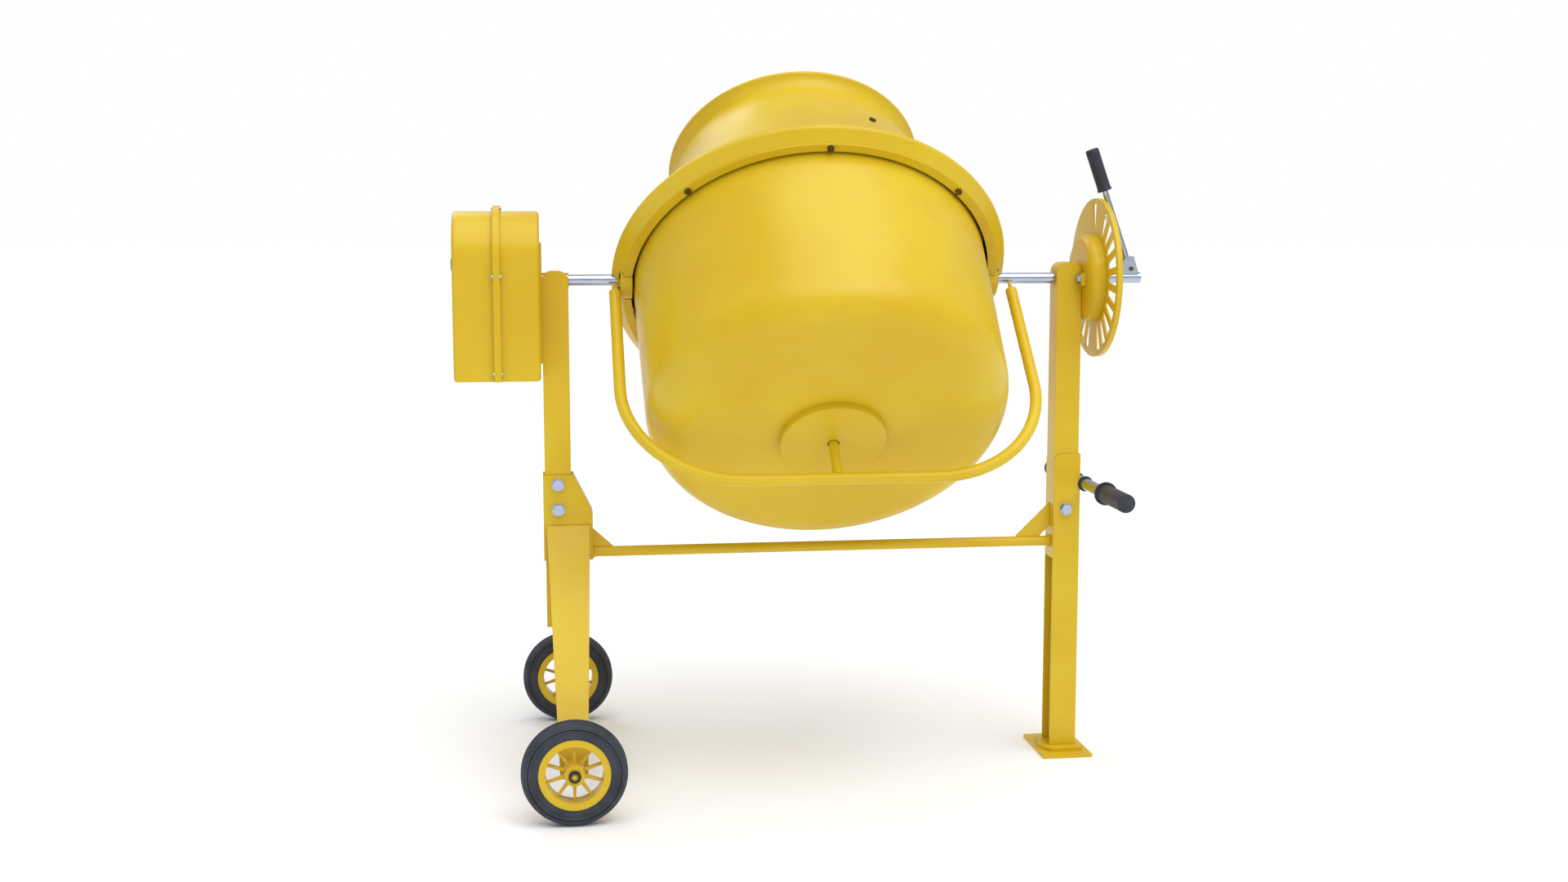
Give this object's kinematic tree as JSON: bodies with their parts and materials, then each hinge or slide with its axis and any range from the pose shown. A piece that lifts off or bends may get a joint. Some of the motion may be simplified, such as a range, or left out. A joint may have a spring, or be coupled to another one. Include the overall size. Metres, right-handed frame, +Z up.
{
  "type": "concrete mixer",
  "caption": "Electric tilting-drum concrete mixer on a wheeled stand, with a lever that locks the tilt, a ring gear driven by an enclosed belt drive, and a handle to wheel it.",
  "frame": {"origin": "centre of the foot plate's underside, on the floor", "axes": "+X along the tilt axis, from the motor side to the lever side; +Y the way the drum's mouth leans at rest; +Z up"},
  "size_m": [1.135, 0.7486, 1.1427],
  "materials": {
    "yellow_paint": "glossy powder coat",
    "bright_steel": "zinc-plated",
    "dark_steel": "oxide-dark",
    "cast_iron": "as cast, greased teeth",
    "bearing_steel": "ground",
    "bush_bronze": "sintered",
    "grip_rubber": "satin",
    "tyre": "matt, lightly dusty",
    "motor_grey": "cast and painted",
    "black_plastic": "fine texture",
    "belt_rubber": "matt",
    "green_button": "moulded",
    "red_button": "moulded"
  },
  "bodies": {
    "frame": {"motor_side_post": "yellow_paint", "lever_side_post": "yellow_paint", "lever_side_leg": "yellow_paint", "foot_plate": "yellow_paint", "foot_stiffener": "yellow_paint", "post_brackets": "yellow_paint", "wheel_legs": "yellow_paint", "wheel_axle": "bright_steel", "axle_caps": "black_plastic", "crossbar": "yellow_paint", "crossbar_gussets": "yellow_paint", "frame_bolts": "bright_steel", "handle_bar": "bright_steel", "handle_grips": "grip_rubber", "handle_end_fittings": "grip_rubber", "post_bushes": "bush_bronze", "lock_disc": "yellow_paint", "disc_hub": "yellow_paint", "housing_inner_shell": "yellow_paint", "housing_outer_shell": "yellow_paint", "housing_seam_band": "yellow_paint", "housing_screws": "bright_steel", "housing_mount_plate": "yellow_paint", "motor": "motor_grey", "capacitor": "black_plastic", "switch_box": "black_plastic", "drive_belt": "belt_rubber"},
    "motor_rotor": {"motor_shaft": "bright_steel", "motor_pulley": "cast_iron", "cooling_fan": "black_plastic"},
    "drive": {"drive_shaft": "bright_steel", "large_pulley": "cast_iron", "pinion": "cast_iron"},
    "cradle": {"yoke": "yellow_paint", "trunnion_tube": "bright_steel", "tilt_shaft": "bright_steel", "pinion_cup": "yellow_paint", "trunnion_boss": "yellow_paint", "gear_guard_upper": "yellow_paint", "gear_guard_lower": "yellow_paint", "guard_lip_rings": "yellow_paint", "cradle_bolts": "dark_steel", "spindle": "yellow_paint", "lever_bracket": "bright_steel"},
    "lever": {"lever_rod": "bright_steel", "lever_grip": "grip_rubber"},
    "drum": {"bowl": "yellow_paint", "cone": "yellow_paint", "ring_gear": "cast_iron", "drum_bolts": "dark_steel", "hub_disc": "yellow_paint", "bearing_housing": "cast_iron", "drum_bearings": "bearing_steel", "mixing_blades": "yellow_paint"},
    "front_wheel": {"front_tyre": "tyre", "front_rim": "yellow_paint"},
    "rear_wheel": {"rear_tyre": "tyre", "rear_rim": "yellow_paint"},
    "start_button": {"start_button": "green_button"},
    "stop_button": {"stop_button": "red_button"}
  },
  "joints": [
    {"name": "tilt", "type": "hinge", "parent": "frame", "child": "cradle", "pos_m": [-0.433, 0, 0.805], "axis": [1, 0, 0], "range_deg": [0, 165]},
    {"name": "drum_spin", "type": "hinge", "parent": "cradle", "child": "drum", "pos_m": [-0.433, 0, 0.805], "axis": [0, 0.7254, 0.6884], "continuous": true},
    {"name": "pinion_spin", "type": "hinge", "parent": "cradle", "child": "drive", "pos_m": [-0.433, 0, 0.805], "axis": [1, 0, 0], "continuous": true},
    {"name": "motor_spin", "type": "hinge", "parent": "frame", "child": "motor_rotor", "pos_m": [-0.893, 0, 0.705], "axis": [1, 0, 0], "continuous": true},
    {"name": "latch", "type": "hinge", "parent": "cradle", "child": "lever", "pos_m": [0.1095, 0, 0.82], "axis": [0, 1, 0], "range_deg": [-2.4, 12]},
    {"name": "front_wheel_roll", "type": "hinge", "parent": "frame", "child": "front_wheel", "pos_m": [-0.8305, -0.292, 0.08], "axis": [0, 1, 0], "continuous": true},
    {"name": "rear_wheel_roll", "type": "hinge", "parent": "frame", "child": "rear_wheel", "pos_m": [-0.8305, 0.292, 0.08], "axis": [0, 1, 0], "continuous": true},
    {"name": "start_press", "type": "slide", "parent": "frame", "child": "start_button", "axis": [1, 0, 0], "range_m": [0, 0.003], "stiffness_N_per_m": 400},
    {"name": "stop_press", "type": "slide", "parent": "frame", "child": "stop_button", "axis": [1, 0, 0], "range_m": [0, 0.003], "stiffness_N_per_m": 400}
  ],
  "couplings": [
    {"joint": "pinion_spin", "follows": "drum_spin", "ratio": 16.4},
    {"joint": "motor_spin", "follows": "drum_spin", "ratio": 53.886}
  ]
}
